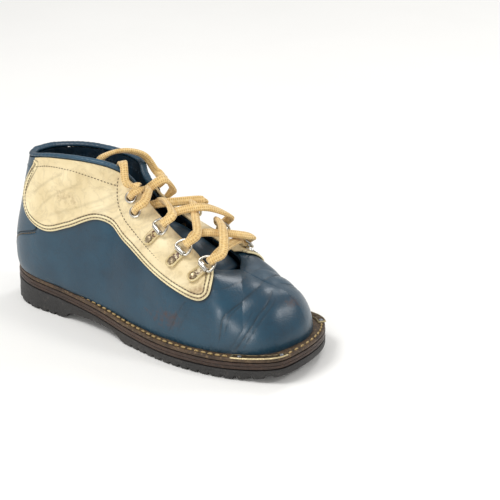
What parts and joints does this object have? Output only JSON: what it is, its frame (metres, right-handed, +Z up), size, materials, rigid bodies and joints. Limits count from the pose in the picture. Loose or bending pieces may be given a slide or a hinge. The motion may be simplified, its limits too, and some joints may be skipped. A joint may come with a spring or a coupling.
{
  "type": "lace-up leather ski boot",
  "caption": "Right low ankle boot of blue and cream leather on a welted rubber sole, laced through eyelets and hinged D-rings, with brass side plates at a blunt toe.",
  "frame": {"origin": "middle of the shoe's outline, on the floor under the tread", "axes": "+X to the toe, +Y to the medial side, +Z up"},
  "size_m": [0.2774, 0.1054, 0.1389],
  "materials": {
    "rubber": "matt worn black rubber, dusty grey at the waist",
    "sole_leather": "worn brown sole leather, edges darkened",
    "cork": "granulated cork filler",
    "board": "stiff vegetable-tanned leather board",
    "steel": "dull tarnished steel",
    "lining_leather": "smooth dark navy leather",
    "blue_leather": "polished teal-blue leather, creased and scuffed",
    "cream_leather": "soft cream leather with fine grey creases",
    "cream_enamel": "cream enamel worn through to rust",
    "nickel": "bright nickel plate, lightly tarnished",
    "brass": "dull scratched brass",
    "lace": "flat braided cotton, pale yellow gold",
    "plastic": "dark aglet tube"
  },
  "bodies": {
    "shoe": {"outsole": "rubber", "midsole": "sole_leather", "welt": "sole_leather", "heel_filler": "cork", "forepart_filler": "cork", "shank": "steel", "insole": "board", "sock_liner": "lining_leather", "vamp": "blue_leather", "medial_quarter": "blue_leather", "backstay": "blue_leather", "lining": "lining_leather", "heel_counter": "board", "toe_puff": "board", "tongue": "lining_leather", "collar_binding": "blue_leather", "lateral_ankle_panel": "cream_leather", "lateral_side_plate": "brass", "lateral_plate_nail_1": "steel", "lateral_plate_nail_2": "steel", "lateral_top_eyelet": "nickel", "lateral_second_eyelet": "nickel", "lateral_upper_clip": "cream_enamel", "lateral_upper_rivet": "steel", "lateral_middle_clip": "cream_enamel", "lateral_middle_rivet": "steel", "lateral_lower_clip": "cream_enamel", "lateral_lower_rivet": "steel", "medial_ankle_panel": "cream_leather", "medial_side_plate": "brass", "medial_plate_nail_1": "steel", "medial_plate_nail_2": "steel", "medial_top_eyelet": "nickel", "medial_second_eyelet": "nickel", "medial_upper_clip": "cream_enamel", "medial_upper_rivet": "steel", "medial_middle_clip": "cream_enamel", "medial_middle_rivet": "steel", "medial_lower_clip": "cream_enamel", "medial_lower_rivet": "steel", "lace": "lace", "lateral_aglet": "plastic", "medial_aglet": "plastic"},
    "lateral_upper_ring": {"lateral_upper_ring": "nickel"},
    "lateral_middle_ring": {"lateral_middle_ring": "nickel"},
    "lateral_lower_ring": {"lateral_lower_ring": "nickel"},
    "medial_upper_ring": {"medial_upper_ring": "nickel"},
    "medial_middle_ring": {"medial_middle_ring": "nickel"},
    "medial_lower_ring": {"medial_lower_ring": "nickel"}
  },
  "joints": [
    {"name": "lateral_upper_ring_swing", "type": "hinge", "parent": "shoe", "child": "lateral_upper_ring", "pos_m": [0.01309, -0.02168, 0.09231], "axis": [0.8419, -0.3086, -0.4427], "range_deg": [-3.5, 3.5]},
    {"name": "lateral_middle_ring_swing", "type": "hinge", "parent": "shoe", "child": "lateral_middle_ring", "pos_m": [0.03766, -0.0267, 0.08261], "axis": [0.8962, -0.2041, -0.3939], "range_deg": [-3.5, 3.5]},
    {"name": "lateral_lower_ring_swing", "type": "hinge", "parent": "shoe", "child": "lateral_lower_ring", "pos_m": [0.05885, -0.0274, 0.07483], "axis": [0.8584, -0.2167, -0.4649], "range_deg": [-3.5, 3.5]},
    {"name": "medial_upper_ring_swing", "type": "hinge", "parent": "shoe", "child": "medial_upper_ring", "pos_m": [0.01298, 0.02564, 0.0911], "axis": [-0.8173, -0.2852, 0.5007], "range_deg": [-3.5, 3.5]},
    {"name": "medial_middle_ring_swing", "type": "hinge", "parent": "shoe", "child": "medial_middle_ring", "pos_m": [0.03731, 0.03025, 0.08134], "axis": [-0.903, -0.1945, 0.3831], "range_deg": [-3.5, 3.5]},
    {"name": "medial_lower_ring_swing", "type": "hinge", "parent": "shoe", "child": "medial_lower_ring", "pos_m": [0.05869, 0.0307, 0.07361], "axis": [-0.8767, -0.1801, 0.4461], "range_deg": [-3.5, 3.5]}
  ]
}
